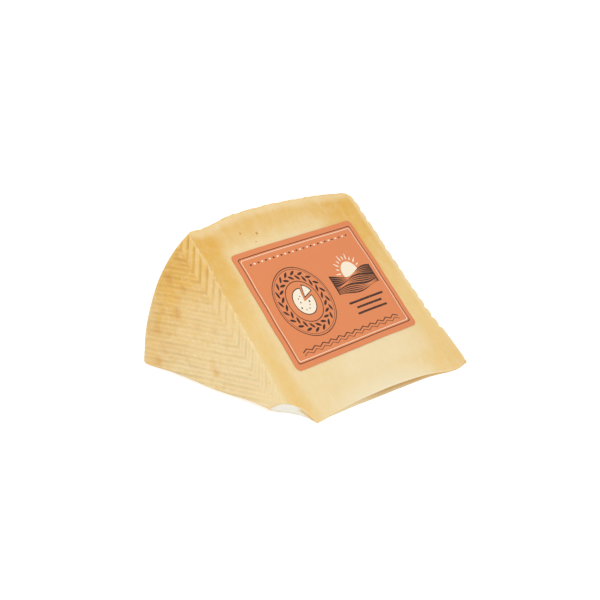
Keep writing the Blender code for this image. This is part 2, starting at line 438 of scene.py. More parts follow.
def cutEnd(x, level):
    # how far out a cut goes at x, with the rounded rims
    reach = sideRadius(x)
    for s in (-1, 1):
        rounding = wedge["rimRounding"][s][1 if level == "high" else 0]
        inRim = np.clip(1 - s * (rimX(s) - x) / rounding, 0, 1)
        reach = reach - (rounding * wedge["cutRounding"]) * inRim ** 2
    return reach


print("building the skin")
zones = buildSkin()
print("points", len(skin["points"]), "triangles", len(skin["triangles"]))


class Field:
    # a node's output in a sum: arithmetic with it adds math nodes to its own tree
    def __init__(self, socket):
        self.socket = socket
        self.tree = socket.id_data

    def __rsub__(self, other):
        return calc("SUBTRACT", other, self)


for method, operation in (("add", "ADD"), ("sub", "SUBTRACT"), ("mul", "MULTIPLY"), ("truediv", "DIVIDE"),
                          ("abs", "ABSOLUTE")):
    setattr(Field, f"__{method}__", lambda *values, operation=operation: calc(operation, *values))


def fill(node, inputs):
    # inputs are fields or plain values, by the name or number of their socket
    for key, value in inputs.items():
        if isinstance(value, Field):
            node.id_data.links.new(value.socket, node.inputs[key])
        else:
            node.inputs[key].default_value = value


def put(tree, kind, inputs=(), output=0, **settings):
    # adds a node and gives one of its outputs
    node = tree.nodes.new(kind)
    for name, setting in settings.items():
        setattr(node, name, setting)
    fill(node, dict(inputs))
    return Field(node.outputs[output])


def treeOf(values):
    return next(value.tree for value in values if isinstance(value, Field))


def calc(operation, *values):
    return put(treeOf(values), "ShaderNodeMath", enumerate(values), operation=operation)


def calcVector(operation, *values):
    return put(treeOf(values), "ShaderNodeVectorMath", enumerate(values), operation=operation)


def scaleVector(vector, factor):
    return put(vector.tree, "ShaderNodeVectorMath", {0: vector, "Scale": factor}, operation="SCALE")


def split(vector):
    first = put(vector.tree, "ShaderNodeSeparateXYZ", {0: vector})
    return [Field(socket) for socket in first.socket.node.outputs]


def combine(*values):
    return put(treeOf(values), "ShaderNodeCombineXYZ", enumerate(values))


def remap(value, low, high, toLow=0.0, toHigh=1.0, smooth=True):
    return put(value.tree, "ShaderNodeMapRange",
               {"Value": value, "From Min": low, "From Max": high, "To Min": toLow, "To Max": toHigh},
               interpolation_type="SMOOTHSTEP" if smooth else "LINEAR")


def cloud(place, size, seed, detail=2.0, roughness=0.5):
    # smooth noise with lumps of about this size, from 0 to 1
    return put(place.tree, "ShaderNodeTexNoise",
               {"Vector": place, "W": seed, "Scale": 1 / size, "Detail": detail, "Roughness": roughness},
               noise_dimensions="4D")


def startTree(name, inputs):
    # a geometry tree with an input for each of these names, fit for its value; returns it and the inputs
    kinds = {float: "Float", int: "Int", tuple: "Vector", bpy.types.Material: "Material"}
    tree = bpy.data.node_groups.new(name, "GeometryNodeTree")
    tree.interface.new_socket("Geometry", in_out="INPUT", socket_type="NodeSocketGeometry")
    for label, value in inputs.items():
        tree.interface.new_socket(label, in_out="INPUT", socket_type="NodeSocket" + kinds[type(value)])
    tree.interface.new_socket("Geometry", in_out="OUTPUT", socket_type="NodeSocketGeometry")
    given = tree.nodes.new("NodeGroupInput")
    return tree, {socket.name: Field(socket) for socket in given.outputs}


def endTree(tree, geometry, material):
    realized = put(tree, "GeometryNodeRealizeInstances", {"Geometry": geometry})
    painted = put(tree, "GeometryNodeSetMaterial", {"Geometry": realized, "Material": material})
    fill(tree.nodes.new("NodeGroupOutput"), {"Geometry": painted})
    return tree


def runTree(thing, tree, inputs):
    # applies the tree to the object and leaves a plain mesh
    modifier = thing.modifiers.new(tree.name, "NODES")
    modifier.node_group = tree
    for socket in tree.interface.items_tree:
        if socket.name in inputs:
            modifier[socket.identifier] = inputs[socket.name]
    bpy.context.view_layer.update()
    depsgraph = bpy.context.evaluated_depsgraph_get()
    mesh = bpy.data.meshes.new_from_object(thing.evaluated_get(depsgraph), depsgraph=depsgraph)
    thing.modifiers.remove(modifier)
    old = thing.data
    thing.data = mesh
    bpy.data.meshes.remove(old)


def addThing(name, data):
    thing = bpy.data.objects.new(name, data)
    bpy.context.scene.collection.objects.link(thing)
    return thing


def addObject(name, points, faces):
    mesh = bpy.data.meshes.new(name)
    mesh.from_pydata(points, [], faces)
    return addThing(name, mesh)


def groove(turns, sharpness):
    # 1 at every whole number of turns, falling off to 0 between them
    wave = calc("COSINE", turns * (2 * math.pi))
    return calc("POWER", calc("MULTIPLY_ADD", wave, 0.5, 0.5), sharpness)


def mouldTree(inputs):
    tree, get = startTree("mouldedRelief", inputs)
    here = calcVector("SUBTRACT", put(tree, "GeometryNodeInputPosition"), get["Nose at"])
    x, y, z = split(here)

    def named(name, kind="FLOAT"):
        return put(tree, "GeometryNodeInputNamedAttribute", {"Name": name}, "Attribute", data_type=kind)

    def wobble(size, share, offset):
        return (cloud(here, size, get["Seed"] + offset) - 0.5) * (get["Rib wobble"] * share)

    # nested corners: u counts along the seam, and is the same all along one rib
    angle, rise, inset = get["Wedge angle"], get["Rib rise"], get["Rib seamInset"]
    both = angle + rise
    long = y * calc("SINE", rise) + z * calc("COSINE", rise)
    long = (long + inset * calc("COSINE", both)) / calc("SINE", both) + wobble(14 * mm, 3.0, 1)
    short = (y - inset * calc("SINE", angle)) / calc("COSINE", angle) + wobble(11 * mm, 2.0, 2)
    u = calc("SMOOTH_MIN", long, short, ribs["cornerSoft"]) + wobble(3 * mm, 0.8, 3)
    turns = (u - get["Rib firstCorner"]) / (get["Rib pitch"] / calc("SINE", both) * 2)
    main = groove(turns, ribs["sharpness"]) * get["Rib mainDepth"]
    fine = groove(turns + 0.5, ribs["sharpness"]) * get["Rib fineDepth"]
    # the fine grooves fade out on the short side of each corner, but not on the left face near the nose
    fades = calc("MAXIMUM", remap(y, 30 * mm, 42 * mm, 0.0, 0.75), remap(x, -1 * mm, 1 * mm, 0.0, 0.75))
    fine = fine * (1.0 - remap(long - short, -1 * mm, 1 * mm) * fades)
    worn = remap(cloud(here, 12 * mm, get["Seed"] + 4), 0.32, 0.60, 0.6, 1.0)
    ribDepth = (main + fine) * (worn * remap(turns, -0.35, -0.1)) * named("ribWeight")

    # the plait: zigzag lines from rim to rim
    band = (x - get["Plait from"]) / get["Plait band"]
    swing = (1.0 - calc("PINGPONG", band, 1.0)) * get["Plait swing"]
    turns = (named("around") + wobble(12 * mm, 3.0, 5) - swing) / get["Plait pitch"]
    main = groove(turns, plait["sharpness"]) * get["Plait mainDepth"]
    fine = groove(turns + 0.5, plait["sharpness"]) * get["Plait fineDepth"]
    plaitDepth = (main + fine) * worn * named("plaitWeight")

    depth = ribDepth + plaitDepth
    offset = scaleVector(named("outwards", "FLOAT_VECTOR"), named("proud") - depth)
    pressed = put(tree, "GeometryNodeSetPosition", {"Geometry": get["Geometry"], "Offset": offset})
    stored = put(tree, "GeometryNodeStoreNamedAttribute",
                 {"Geometry": pressed, "Name": "groove", "Value": depth / get["Rib mainDepth"]},
                 data_type="FLOAT", domain="POINT")
    return endTree(tree, stored, get["Material"])


# gentle unevenness of the whole surface, and the lumps and hollows that this wedge has, each a place,
# a push and a reach in the nose's frame, in mm
uneven = {
    "size": 0.16 * mm, "waves": 14, "shortest": 16 * mm, "longest": 48 * mm, "seed": 5,
    "phase": 6.283, "still": 6 * mm,
    "lumps": [((-42, 66.5, 64.5), (0, -1.05, -1.05), 11), ((43.5, 0, 0), (0, -2.6, 0), 10)],
}


def unevenness(points):
    # smooth offsets, the same for whatever lies at a place
    rough = random.Random(uneven["seed"])
    total = np.zeros_like(points)
    for _ in range(uneven["waves"]):
        length = rough.uniform(uneven["shortest"], uneven["longest"])
        way = Vector([rough.gauss(0, 1) for _ in range(3)]).normalized() * (2 * math.pi / length)
        push = np.array([rough.gauss(0, 1) for _ in range(3)])
        total += np.sin(points @ np.array(way) + rough.uniform(0, uneven["phase"]))[:, None] * push
    total *= uneven["size"] / math.sqrt(uneven["waves"])
    for at, push, reach in uneven["lumps"]:
        far = np.linalg.norm(points / mm - np.array(at), axis=1) / reach
        total += np.exp(-far ** 2)[:, None] * np.array(push) * mm
    total[:, 2] *= np.clip(points[:, 2] / uneven["still"], 0, 1)
    return total


def settle(points):
    # the large departures from the plain wedge: the lifted lower edge and the flared end of the nose
    x, y, z = points.T
    rise = np.zeros(len(points))
    for middle, half, height in lifts:
        rise += height * (1 - np.clip(np.abs(y - middle) / half, 0, 1) ** 2) ** 2
    rise *= np.clip(1 - (x - faceX(-1, y, z)) / wedge["liftWidth"], 0, 1) ** 2
    rise *= np.clip(1 - z / wedge["liftHeight"], 0, 1)
    flare = wedge["flare"] * (1 - ease(np.hypot(y, z), 0, wedge["flareReach"]))
    flare = flare * ease(x, wedge["flareFrom"], rightX - wedge["flareFrom"])
    return points + np.stack([flare, np.zeros(len(points)), rise], 1)


def pressEyes(points):
    # sinks the rings of points about each eye; returns how deep in an eye each point is, from 0 to 1
    x, y, z = points.T
    inEye = np.zeros(len(points))
    for level, inwards in (("low", (0, 0, 1)), ("high", (0, sinAngle, -cosAngle))):
        c, s = cutWay[level]
        v = y * c + z * s
        onCut = np.abs(z * c - y * s) < 0.01 * mm
        for eyeX, eyeV, radius, depth in eyesOn(level):
            far = np.hypot(x - eyeX, v - eyeV) / radius / eyes["rings"][2]
            sunk = np.where(onCut, (1 - np.clip(far, 0, 1) ** 2) ** 1.2, 0)
            points = points + sunk[:, None] * np.array(inwards) * depth
            inEye = np.maximum(inEye, sunk)
    return points, inEye


# the broken corner: an egg-shaped hollow, and which way the points in it are pushed
chip = {
    "centre": np.array((-57.8, 6.3, -14.0)) * mm,
    "radii": np.array((18.0, 20.2, 22.7)) * mm,
    "way": np.array((0.70, 0.64, 0.32)),
    "pale": 1.2 * mm,  # how far pushed a point is when it shows the broken paste's full paleness
    "fade": (2.0 * mm, 3.5 * mm),
}

# how much each round softens an edge, the scalloped edge (of that) and what lies beside one
soft = {"edge": 0.5, "scalloped": 0.35, "beside": 0.25, "rounds": 3}


def breakCorner(points):
    # pushes what lies in the chip back onto its hollow; returns how far each point went
    push = chip["way"] / np.linalg.norm(chip["way"])
    scaled = (points - chip["centre"]) / chip["radii"]
    way = push / chip["radii"]
    a = (way ** 2).sum()
    b = (scaled * way).sum(1)
    c = (scaled ** 2).sum(1) - 1
    far = np.where(c < 0, (-b + np.sqrt(np.maximum(b * b - a * c, 0))) / a, 0)
    return points + far[:, None] * push, far


def soften(points, edges, weight):
    # rounds an edge by drawing its points towards their neighbours
    count = np.zeros(len(points))
    np.add.at(count, edges.ravel(), 1)
    for _ in range(soft["rounds"]):
        total = np.zeros_like(points)
        np.add.at(total, edges[:, 0], points[edges[:, 1]])
        np.add.at(total, edges[:, 1], points[edges[:, 0]])
        points = points + (total / count[:, None] - points) * weight[:, None]
    return points


def setValues(mesh, name, values, kind="FLOAT", domain="POINT"):
    field = "vector" if kind == "FLOAT_VECTOR" else "value"
    mesh.attributes.new(name, kind, domain).data.foreach_set(field, np.asarray(values, float).ravel())


def readAll(items, name, width, kind=float):
    values = np.empty(len(items) * width, kind)
    items.foreach_get(name, values)
    return values.reshape(-1, width)


def flag(chosen, count):
    values = np.zeros(count)
    values[list(chosen)] = 1
    return values


# darker patches of the left face, as (distance back, height, size, strength) in mm
stains = [(71.9, 28.1, 1.9, 1.1), (76.6, 41.3, 2.4, 0.5), (78.5, 46.5, 2.6, 0.25), (82.0, 3.4, 2.8, 0.45),
          (68.3, 49.9, 3.4, 0.45), (82.0, 18.0, 3.0, 0.3), (71.0, 34.5, 2.0, 0.3), (60.0, 26.0, 1.8, 0.3),
          (49.0, 8.5, 2.2, 0.35), (79.0, 10.5, 2.6, 0.3), (50.0, 27.0, 2.4, 0.25)]


def stainAt(points):
    x, y, z = points.T
    amount = np.zeros(len(points))
    for back, height, size, strength in stains:
        amount += strength * np.exp(-((y / mm - back) ** 2 + (z / mm - height) ** 2) / size ** 2)
    return amount * (x < 0)


def makeCheese(material):
    flatPlaces = np.array(skin["points"])
    count = len(flatPlaces)
    points, inEye = pressEyes(flatPlaces)
    points = settle(points) + unevenness(flatPlaces)
    cheese = addObject("cheese", (points + noseAt).tolist(), skin["triangles"])
    mesh = cheese.data
    mesh.polygons.foreach_set("use_smooth", [True] * len(mesh.polygons))
    moulded = np.zeros((count, 7))
    moulded[list(skin["moulded"])] = list(skin["moulded"].values())
    setValues(mesh, "outwards", moulded[:, :3], "FLOAT_VECTOR")
    for column, name in enumerate(("proud", "ribWeight", "plaitWeight", "around")):
        setValues(mesh, name, moulded[:, 3 + column])
    fromX = rimX(-1) + plait["rimMargin"]
    inputs = {"Nose at": wedge["noseAt"], "Wedge angle": wedge["angle"], "Seed": 3.0, "Material": material,
              "Plait from": fromX, "Plait band": (rimX(1) - plait["rimMargin"] - fromX) / plait["bands"]}
    for group, given in (("Rib ", ribs), ("Plait ", plait)):
        inputs.update({group + name: given[name] for name in given["inputs"]})
    runTree(cheese, mouldTree(inputs), inputs)
    mesh = cheese.data
    points = readAll(mesh.vertices, "co", 3) - noseAt
    edges = readAll(mesh.edges, "vertices", 2, int)

    weight = flag(zones["sharp"], count)
    weight[zones["scalloped"]] = soft["scalloped"]
    near = np.zeros(count)
    np.maximum.at(near, edges[:, 0], weight[edges[:, 1]])
    np.maximum.at(near, edges[:, 1], weight[edges[:, 0]])
    points = soften(points, edges, np.maximum(weight * soft["edge"], near * soft["beside"]))
    points[:, 2] = np.maximum(points[:, 2], 0)
    points, broken = breakCorner(points)
    mesh.vertices.foreach_set("co", (points + noseAt).ravel())

    # what the material needs to know of each place: distances in mm, and shares from 0 to 1
    x, y, z = flatPlaces.T
    # the lip's colour: painted shade on the nose's strip, over its browner rind
    lip = np.zeros(count)
    for row, lipShading in zip(zones["strip"], np.linspace(*nose["lipShading"], nose["rows"] + 1)):
        lip[row] = lipShading
    cut = flag(zones["low"] | zones["high"], count)
    cut[lip > 0] = 1
    fromNose = (y * cosAngle + z * sinAngle) - noseY(x) / cosAngle
    known = {
        "toFlat": np.minimum(x - faceX(-1, y, z), faceX(1, y, z) - x) / mm,
        "toSide": (sideRadius(x) - np.hypot(y, z)) / mm,
        "toCut": (y * sinAngle - z * cosAngle) / mm,
        "outness": np.hypot(y, z) / rimRadius,
        "eye": inEye,
        "stain": stainAt(flatPlaces),
        # a painted highlight along the labelled cut just above the lip
        "crestHighlight": np.exp(-(fromNose / nose["crestHighlight"]) ** 2) * flag(zones["high"], count),
        "cut": np.maximum(cut, broken > 0),
        "broken": np.clip(broken / chip["pale"], 0, 1) * ease(y, *chip["fade"]),
        "leftFace": (x - faceX(-1, y, z) < 0.3 * mm) & (cut == 0),
        "lip": lip,
    }
    for name, values in known.items():
        setValues(mesh, name, values)
    mesh.update()
    flipIfInside(mesh)
    return cheese


def flipIfInside(mesh):
    # a closed mesh whose volume comes out negative has its faces turned round
    shape = bmesh.new()
    shape.from_mesh(mesh)
    bmesh.ops.recalc_face_normals(shape, faces=shape.faces)
    if shape.calc_volume(signed=True) < 0:
        bmesh.ops.reverse_faces(shape, faces=shape.faces)
    shape.to_mesh(mesh)
    shape.free()


# how bright the studio's light makes a white surface; the colours below are given as seen in that light
lightLevel = 1.32


def seen(red, green, blue):
    # the surface's own colour, from the screen colour, 0 to 255, that it shows in the studio
    return tuple(((c / 255 + 0.055) / 1.055) ** 2.4 / lightLevel for c in (red, green, blue)) + (1,)


def startMaterial(name):
    material = bpy.data.materials.new(name)
    material.use_nodes = True
    tree = material.node_tree
    return material, tree.nodes["Principled BSDF"], put(tree, "ShaderNodeTexCoord", output="Object")


def blend(factor, a, b):
    return put(treeOf((factor, a, b)), "ShaderNodeMix", {0: factor, 6: a, 7: b}, 2, data_type="RGBA")


def pointValue(tree, name):
    return put(tree, "ShaderNodeAttribute", output="Fac", attribute_name=name)


def bump(height, distance, **normal):
    return put(height.tree, "ShaderNodeBump", {"Height": height, "Distance": distance, **normal})


cheeseColours = {name: seen(*shade) for name, shade in {
    "pasteMiddle": (239, 213, 158),
    "pastePale": (243, 233, 202),
    "pasteGrain": (245, 226, 184),
    "pasteBand": (236, 198, 122),
    "pasteDeep": (228, 177, 74),
    "pasteCorner": (227, 174, 70),
    "pasteRim": (242, 216, 162),
    "wrappedEdgeShade": (226, 193, 132),
    "wrapped": (234, 210, 152),
    # painted shade inside the eyes
    "eye": (196, 140, 62),
    "rindPale": (239, 214, 162),
    "rindMiddle": (235, 203, 142),
    "rindGolden": (230, 183, 92),
    "ridgeHighlight": (245, 220, 164),
    "seamPale": (246, 224, 168),
    "seamGolden": (242, 202, 124),
    "rindSpeck": (214, 150, 80),
    "rindBloom": (247, 236, 206),
    "rindStain": (208, 146, 58),
    # painted shade on the lip, over a browner rind
    "lip": (190, 142, 64),
    # painted highlight above the lip
    "crestHighlight": (255, 240, 208),
    # the broken paste's own paleness, lifted further as painted light against the shade in the hollow
    "broken": (252, 249, 236),
}.items()}


def layered(colour, *layers):
    # lays colours of the cheese over a colour one by one, each as far as its amount says
    for amount, name in layers:
        colour = blend(amount, colour, cheeseColours[name])
    return colour


def shades(factor, name, other):
    return blend(factor, cheeseColours[name], cheeseColours[other])


def pasteColour(place, x, at):
    # pale in the middle, golden towards the rind, with a paler heart at the nose
    outness = at["outness"]
    ragged = cloud(place, 6 * mm, 1, detail=5, roughness=0.6)
    ragged = remap(ragged, 0.3, 0.7, -1.1, 1.1, smooth=False)
    toSide = at["toSide"] + ragged
    toFlat = (at["toFlat"] + ragged) * remap(x, 0, 20 * mm, 1, 0.34) + remap(x, 0, 20 * mm, 0, 2.5)
    flatBand = remap(toFlat + remap(outness, 0.50, 0.75, 0, -2.2), 4.5, 14.0, 1, 0)
    sideBand = remap(toSide, 6.0, 19.0, 0.75, 0)
    band = calc("MAXIMUM", flatBand, sideBand)
    paste = blend(band * 0.96, cheeseColours["pasteMiddle"],
                  shades(remap(outness, 0.42, 0.88), "pasteBand", "pasteDeep"))
    heart = calc("POWER", abs(x) / (26 * mm), 2.0) + abs(outness - 0.04) / 0.05
    pale = remap(outness, 0.11, 0.16, 0, 0.26) * remap(outness, 0.22, 0.45, 1, 0)
    pale = pale * remap(x, -26 * mm, -8 * mm) * remap(x, 33 * mm, 46 * mm, 1, 0.2)
    rightEdge = remap(at["toFlat"], 0.6, 3.6, 0.75, 0) * remap(x, 0, 20 * mm)
    rightEdge = rightEdge * remap(outness, 0.15, 0.50, 0.3, 1)
    mottle = cloud(place, 3.5 * mm, 9, detail=6, roughness=0.7)
    streaks = cloud(calcVector("MULTIPLY", place, (1, 0.2, 0.2)), 2.2 * mm, 17, detail=3)
    mottle = remap(mottle, 0.40, 0.72, 0, 0.36, smooth=False) + remap(streaks, 0.48, 0.75, 0, 0.26)
    mottle = mottle * remap(band, 0, 1, 1.0, 0.60, smooth=False)
    # the eye colour laid last is painted shade in the holes
    return layered(paste, (flatBand * sideBand * 0.8, "pasteCorner"),
                   (remap(heart, 0, 2.2, 0.62, 0, smooth=False), "pastePale"), (pale, "pastePale"),
                   (remap(toSide, 1.2, 5.0, 0.65, 0), "pasteRim"), (rightEdge, "pasteRim"),
                   (mottle, "pasteGrain"), (at["eye"], "eye"))


def rindColour(place, fromWrap, at):
    # pale near the nose and golden towards the rim, with darker grooves, specks and stains
    _, y, z = split(place)
    outness, sunk = at["outness"], at["groove"]
    drift = remap(cloud(place, 12 * mm, 2, detail=3), 0.3, 0.7, -0.07, 0.07, smooth=False)
    age = outness + drift + remap(z, 2 * mm, 50 * mm, -0.12, 0.05)
    lowRim = remap(outness, 0.915, 0.955, 0, 0.8) * remap(z, 22 * mm, 42 * mm, 1, 0)
    # foot: the rind painted paler near the table, as painted light against the table's shade
    foot = remap(z, 3 * mm, 16 * mm, 0.9, 0) * remap(outness, 0.72, 0.86, 1, 0.3)
    besideCut = remap(at["toCut"], 0, 16, 0.22, 0) * remap(outness, 0.46, 0.60)
    patches = remap(cloud(place, 3 * mm, 41, detail=3), 0.50, 0.68, 0, 0.34)
    rind = layered(shades(remap(age, 0.35, 0.74), "rindPale", "rindMiddle"),
                   (remap(age, 0.72, 0.90), "rindGolden"), (lowRim, "rindMiddle"), (foot, "rindPale"),
                   (besideCut, "rindGolden"), (patches * remap(outness, 0.35, 0.60), "rindGolden"))
    # a crumbly seam along the labelled cut
    seam = remap(fromWrap, 0.2, 2.4, 0.75, 0)
    seam = seam * remap(cloud(place, 1.3 * mm, 16, detail=2), 0.42, 0.60, 0.25, 1)
    rind = blend(seam, rind, shades(remap(outness, 0.45, 0.80), "seamPale", "seamGolden"))
    # painted shade in the grooves and painted highlight on the ridges, which show less in the middle of the
    # left face
    back = (y - 10 * mm) / (20 * mm)
    up = (z - 26 * mm) / (18 * mm)
    fromMiddle = calc("SQRT", back * back + up * up)
    contrast = remap(cloud(place, 5 * mm, 13), 0.35, 0.65, 0.35, 0.75) * remap(outness, 0.25, 0.60, 0.6, 1)
    contrast = contrast * remap(z, 30 * mm, 50 * mm, 1.3, 1.45) * remap(fromMiddle, 0.3, 1.1, 0.36, 1.0)
    rind = blend(sunk * contrast, rind, calcVector("MULTIPLY", rind, (0.82, 0.79, 0.70)))
    bloom = cloud(place, 1.8 * mm, 8, detail=4, roughness=0.6)
    speck = remap(cloud(place, 1.1 * mm, 6, detail=3), 0.62, 0.72) * remap(z, 0, 26 * mm, 0.55, 0.22)
    stain = at["stain"] * remap(cloud(place, 2.4 * mm, 7, detail=3), 0.35, 0.62, 0.35, 1.25)
    blotch = remap(cloud(place, 7 * mm, 14, detail=4), 0.58, 0.72) * remap(age, 0.65, 0.95, 0.05, 0.45)
    # ridgeHighlight is painted highlight on the ridges; bloom, specks and stains are the rind's own
    return layered(rind, (remap(sunk, 0.0, 0.35, 0.40, 0) * contrast, "ridgeHighlight"),
                   (remap(bloom, 0.50, 0.75, 0, 0.30), "rindBloom"), (speck, "rindSpeck"),
                   (calc("MAXIMUM", stain, blotch), "rindStain"))


def cheeseMaterial():
    material, shader, place = startMaterial("cheesePasteAndRind")
    at = {name: pointValue(place.tree, name) for name in (
        "toFlat", "toSide", "toCut", "outness", "eye", "stain", "crestHighlight", "cut", "broken", "leftFace",
        "lip", "groove")}
    x = split(place)[0]
    outness, toCut = at["outness"], at["toCut"]
    # how far a place of the rind is, in mm, from the smooth edge that the labelled cut wraps round it
    fromWrap = toCut - remap(outness, wrap["from"], wrap["from"] + wrap["reach"], wrap["nose"], wrap["side"])
    fromWrap = fromWrap + remap(cloud(place, 2 * mm, 12, detail=3), 0.3, 0.7, -0.7, 0.7)
    wrapped = remap(fromWrap, -0.3, 0.3, 1, 0) * at["leftFace"]
    cut = calc("MAXIMUM", at["cut"], wrapped)
    # the wrapped paste is the cut's own golden edge, painted darker nearest the edge as shade against the
    # light the rounded edge catches
    paste = blend(wrapped * remap(outness, 0.3, 0.75, 0.85, 0), pasteColour(place, x, at),
                  shades(remap(toCut, 0.2, 1.2), "wrappedEdgeShade", "wrapped"))
    colour = blend(cut, rindColour(place, fromWrap, at), paste)
    # the left edge of the labelled cut faces the light, and is a little darker to make up for it
    edge = remap(toCut + at["toFlat"], 0, 1.1, 1, 0) * remap(x, -10 * mm, 0, 1, 0)
    colour = blend(edge * remap(outness, 0.25, 0.90, 0.02, 0.18), colour, (0, 0, 0, 1))
    # painted highlight above the lip and painted shade on it, both strongest near the middle of the nose
    lipPlace = remap(abs(x - 11 * mm), 9 * mm, 42 * mm, 0.95, 0.15)
    colour = layered(colour, (at["crestHighlight"] * (lipPlace * 0.9), "crestHighlight"), (at["lip"] * lipPlace, "lip"),
                     (at["broken"], "broken"))
    gloss = remap(cloud(place, 4 * mm, 15, detail=3), 0.3, 0.7, 0.42, 0.60, smooth=False)
    knife = bump(cloud(place, 2.6 * mm, 4, detail=4, roughness=0.6), 0.16 * mm)
    pores = cloud(place, 0.55 * mm, 5, detail=3) * remap(cut, 0, 1, 1.6, 0.8)
    fill(shader, {
        "Base Color": colour, "Roughness": gloss + remap(cut, 0, 1, 0.12, 0), "Specular IOR Level": 0.35,
        "Subsurface Weight": 0.25, "Subsurface Radius": (1.0, 0.6, 0.25), "Subsurface Scale": 1.6 * mm,
        "Normal": bump(pores, 0.07 * mm, Normal=knife)})
    return material


label = {
    "width": 79.65 * mm,
    "height": 55.66 * mm,
    "cornerRadius": 2.3 * mm,
    "upSlope": 51.06 * mm,
    "across": 0.37 * mm,
    "turn": math.radians(1.66),
    "lift": 0.10 * mm,
    "thickness": 0.14 * mm,
    "keystone": 0.022,
    "grid": 2 * mm,
    "clear": 0.8,  # in mm, between the grid's points and the label's edge
    "paperColour": seen(227, 136, 84),
    "fleckColour": seen(234, 152, 104),
    "shadeColour": seen(214, 122, 76),
    "inkColour": seen(58, 28, 14),
    "creamColour": seen(250, 236, 212),
}

# the label's print, in mm from its middle: a frame, a ring of leaves round a cut wheel, a sun over
# hills, bars, a row of dots and a zigzag line; turns are in degrees
printing = {
    "frame": {"insets": (2.5, 3.5), "widths": (0.36, 0.24), "corner": 1.1},
    "rings": {"at": (-15.0, -0.8), "radii": (16.4, 16.0, 15.4, 15.2, 9.7, 9.3)},
    "leaves": {"Count": 40, "Reach": 12.45, "Corners": 14, "Length": 3.5, "Width": 1.25, "Pinch": 1.6,
               "Tilt": math.radians(34), "Spread": 1.05},
    "wheel": {"radius": 6.3, "cut": (18, 74), "slipped": 1.8, "line": 0.45, "lineTurn": 4,
              "wedgeIn": 0.85, "wedgeSmaller": 1.3, "eyes": range(110, 350, 34), "eyesOut": (2.3, 4.4),
              "eyeRadius": (0.28, 0.5), "seed": 4},
    "sun": {"at": (20.5, 4.6), "radius": 5.3, "arc": (-20, 200), "rays": 11, "rayTurns": (4, 176),
            "from": 6.5, "to": (9.3, 8.2), "widths": (0.75, 0.3)},
    "hills": {"ends": (6.0, 34.0), "steps": 36, "layers": 3, "furrows": 4, "width": 0.30, "wider": 0.03,
              "gap": 0.1, "tops": (4.4, -2.9), "swell": (1.5, -0.2), "wave": (0.24, 1.9, 0.6)},
    "bars": {"lines": ((-8.6, 23.0), (-11.4, 17.0), (-14.2, 20.0)), "height": 1.0},
    "rowMargin": 8,
    "dotRow": 21.4,
    "dots": {"Count": 27, "Corners": 4, "Length": 1.5, "Width": 0.95, "Pinch": 1.0, "Tilt": 0.0,
             "Spread": 0.0},
    "zigzag": {"row": -21.3, "turns": 24, "swing": 1.25, "lines": ((0.75, 0.504), (-0.75, 0.3024))},
}
paperInk, brownInk, creamInk = 0, 1, 2


def roundedRectangle(width, height, radius, steps=8):
    outline = []
    for quarter, (sideX, sideY) in enumerate(((1, 1), (-1, 1), (-1, -1), (1, -1))):
        corner = (sideX * (width / 2 - radius), sideY * (height / 2 - radius))
        outline += [polar(radius, math.pi / 2 * (quarter + i / steps), corner) for i in range(steps + 1)]
    return outline


def subdivide(outline, step):
    finer = []
    for a, b in zip(outline, outline[1:] + outline[:1]):
        count = max(1, round(math.dist(a, b) / step))
        finer += [tuple(p + (q - p) * i / count for p, q in zip(a, b)) for i in range(count)]
    return finer


def sector(centre, radius, start=0, end=360, steps=64, pointed=False):
    outline = [polar(radius, math.radians(start + (end - start) * i / steps), centre)
               for i in range(steps + 1)]
    if end - start == 360:
        return outline[:-1]
    return outline + [tuple(centre)] if pointed else outline


def stroke(path, widths):
    # an outline along a path, with a width for each point
    left, right = [], []
    for i, (point, width) in enumerate(zip(path, widths)):
        ahead = Vector(path[min(i + 1, len(path) - 1)]) - Vector(path[max(i - 1, 0)])
        away = Vector((-ahead[1], ahead[0])).normalized() * width / 2
        left.append((point[0] + away[0], point[1] + away[1]))
        right.append((point[0] - away[0], point[1] - away[1]))
    return left + right[::-1]


def markTree(inCircle, inputs):
    # flat marks along a circle or a straight row, as leaves or diamonds by how far their sides pinch
    tree, get = startTree("printedMarks", inputs)
    here = put(tree, "GeometryNodeInputPosition")
    x, y, _ = split(here)
    shape = put(tree, "GeometryNodeMeshCircle", {"Radius": 1.0, "Vertices": get["Corners"]},
                fill_type="NGON")
    pinched = calc("SIGN", y) * calc("POWER", abs(y), get["Pinch"])
    shape = put(tree, "GeometryNodeSetPosition", {
        "Geometry": shape, "Position": combine(x * (get["Length"] * 0.5), pinched * (get["Width"] * 0.5))})
    if inCircle:
        places = put(tree, "GeometryNodeMeshCircle", {"Vertices": get["Count"], "Radius": get["Reach"]})
        along = calc("ARCTAN2", y, x) + math.pi / 2
    else:
        places = put(tree, "GeometryNodeMeshLine", {
            "Count": get["Count"], "Start Location": combine(get["Reach"] * -0.5),
            "Offset": combine(get["Reach"] * 0.5)}, mode="END_POINTS")
        along = get["Tilt"] * 0.0
    turnabout = calc("MODULO", put(tree, "GeometryNodeInputIndex"), 2.0) * 2.0 - 1.0
    spread = scaleVector(calcVector("NORMALIZE", here), turnabout * get["Spread"])
    places = put(tree, "GeometryNodeSetPosition", {"Geometry": places, "Offset": spread})
    scattered = put(tree, "GeometryNodeInstanceOnPoints", {
        "Points": places, "Instance": shape, "Rotation": combine(0, 0, along + turnabout * get["Tilt"])})
    return endTree(tree, scattered, get["Material"])


def printedMarks(inCircle, centre, inputs):
    # the marks' outlines, in mm
    carrier = addObject("marks", [], [])
    runTree(carrier, markTree(inCircle, inputs), inputs)
    mesh = carrier.data
    outlines = [[tuple(p + q for p, q in zip(mesh.vertices[i].co, centre)) for i in face.vertices]
                for face in mesh.polygons]
    bpy.data.objects.remove(carrier)
    bpy.data.meshes.remove(mesh)
    return outlines


